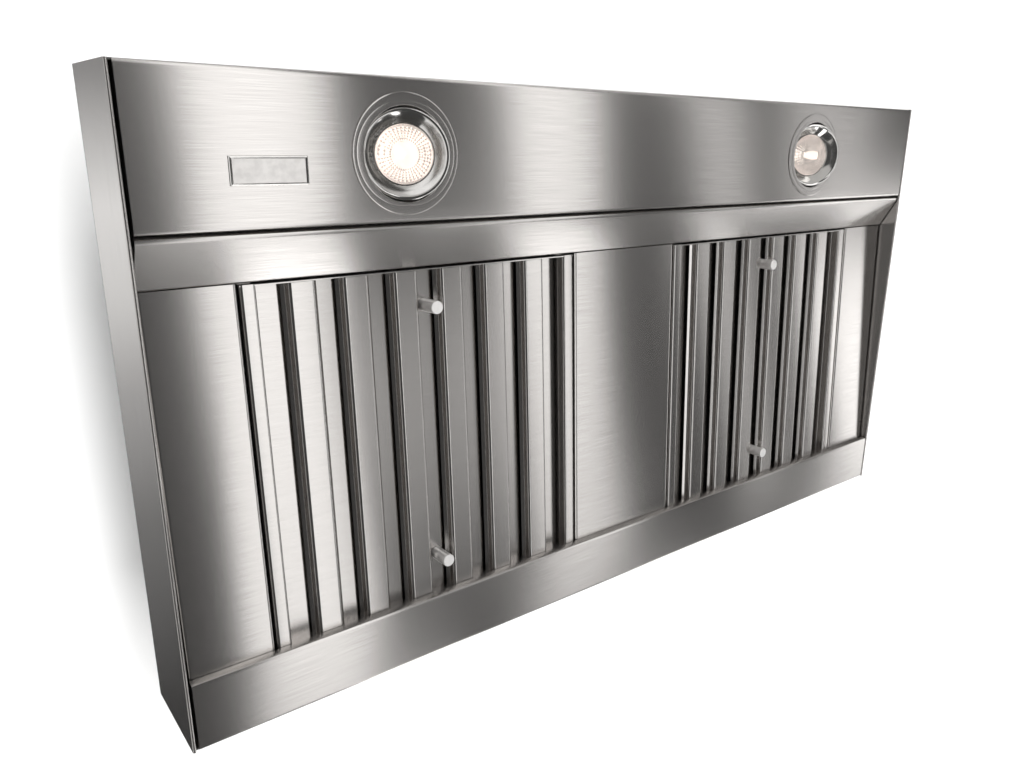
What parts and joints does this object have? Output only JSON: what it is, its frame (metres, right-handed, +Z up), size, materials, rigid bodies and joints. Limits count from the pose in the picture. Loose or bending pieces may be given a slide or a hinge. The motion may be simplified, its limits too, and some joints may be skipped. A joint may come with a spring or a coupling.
{
  "type": "range hood insert",
  "caption": "Shallow stainless hood liner with drop-down baffle filters, tilting lamps, a blower box and a round duct collar with backdraft flaps.",
  "frame": {"origin": "middle of the pan's opening, in the plane of its rim", "axes": "+X to the right seen from in front, +Y to the rear wall, +Z up into the duct"},
  "size_m": [1.025, 0.555, 0.3305],
  "materials": {
    "stainless": "brushed stainless sheet",
    "galvanised": "plain galvanised sheet",
    "polished": "bright polished",
    "satin_bar": "satin turned bar",
    "black_plastic": "matte",
    "lens_glass": "clear pressed glass",
    "motor_paint": "semi-gloss enamel"
  },
  "bodies": {
    "pan": {"left_side_panel": "stainless", "right_side_panel": "stainless", "light_panel": "stainless", "sloped_strip": "stainless", "filter_spring_left": "stainless", "filter_spring_right": "stainless", "rear_trough": "stainless", "blank_panel_left": "stainless", "blank_panel_middle": "stainless", "blank_panel_right": "stainless", "top_deck": "galvanised", "blower_box": "galvanised", "blower_scroll": "galvanised", "motor_bracket": "galvanised", "duct_collar": "galvanised", "wiring_box": "galvanised", "wiring_box_cover": "galvanised", "lamp_trim_left": "stainless", "lamp_can_left": "galvanised", "lamp_trim_right": "stainless", "lamp_can_right": "galvanised", "motor": "motor_paint", "damper_rod": "satin_bar", "lamp_driver": "black_plastic"},
    "left_filter": {"filter_frame_left": "stainless", "front_baffle_left_1": "stainless", "front_baffle_left_2": "stainless", "front_baffle_left_3": "stainless", "front_baffle_left_4": "stainless", "front_baffle_left_5": "stainless", "front_baffle_left_6": "stainless", "filter_knob_left_front": "satin_bar", "filter_knob_left_rear": "satin_bar"},
    "left_lamp": {"gimbal_ring_left": "polished", "bulb_lens_left": "lens_glass", "bulb_body_left": "polished", "bulb_socket_left": "black_plastic"},
    "right_filter": {"filter_frame_right": "stainless", "front_baffle_right_1": "stainless", "front_baffle_right_2": "stainless", "front_baffle_right_3": "stainless", "front_baffle_right_4": "stainless", "front_baffle_right_5": "stainless", "front_baffle_right_6": "stainless", "filter_knob_right_front": "satin_bar", "filter_knob_right_rear": "satin_bar"},
    "right_lamp": {"gimbal_ring_right": "polished", "bulb_lens_right": "lens_glass", "bulb_body_right": "polished", "bulb_socket_right": "black_plastic"},
    "wheel": {"blower_wheel": "galvanised", "motor_shaft": "satin_bar"},
    "front_flap": {"damper_flap_front": "galvanised"},
    "rear_flap": {"damper_flap_rear": "galvanised"}
  },
  "joints": [
    {"name": "left_filter_swing", "type": "hinge", "parent": "pan", "child": "left_filter", "pos_m": [-0.25662, 0.2125, 0.0084], "axis": [1, 0, 0], "range_deg": [0, 50]},
    {"name": "right_filter_swing", "type": "hinge", "parent": "pan", "child": "right_filter", "pos_m": [0.24413, 0.2125, 0.0084], "axis": [1, 0, 0], "range_deg": [0, 50]},
    {"name": "left_lamp_tilt", "type": "hinge", "parent": "pan", "child": "left_lamp", "pos_m": [-0.289, -0.2155, 0.003], "axis": [0, 1, 0], "range_deg": [-44, 4]},
    {"name": "right_lamp_tilt", "type": "hinge", "parent": "pan", "child": "right_lamp", "pos_m": [0.289, -0.2155, 0.003], "axis": [0, 1, 0], "range_deg": [-44, 4]},
    {"name": "wheel_spin", "type": "hinge", "parent": "pan", "child": "wheel", "pos_m": [0, -0.046, 0.1662], "axis": [1, 0, 0], "continuous": true},
    {"name": "front_flap_swing", "type": "hinge", "parent": "pan", "child": "front_flap", "pos_m": [0, 0.04, 0.2914], "axis": [-1, 0, 0], "range_deg": [0, 78]},
    {"name": "rear_flap_swing", "type": "hinge", "parent": "pan", "child": "rear_flap", "pos_m": [0, 0.04, 0.2914], "axis": [1, 0, 0], "range_deg": [0, 78]}
  ]
}
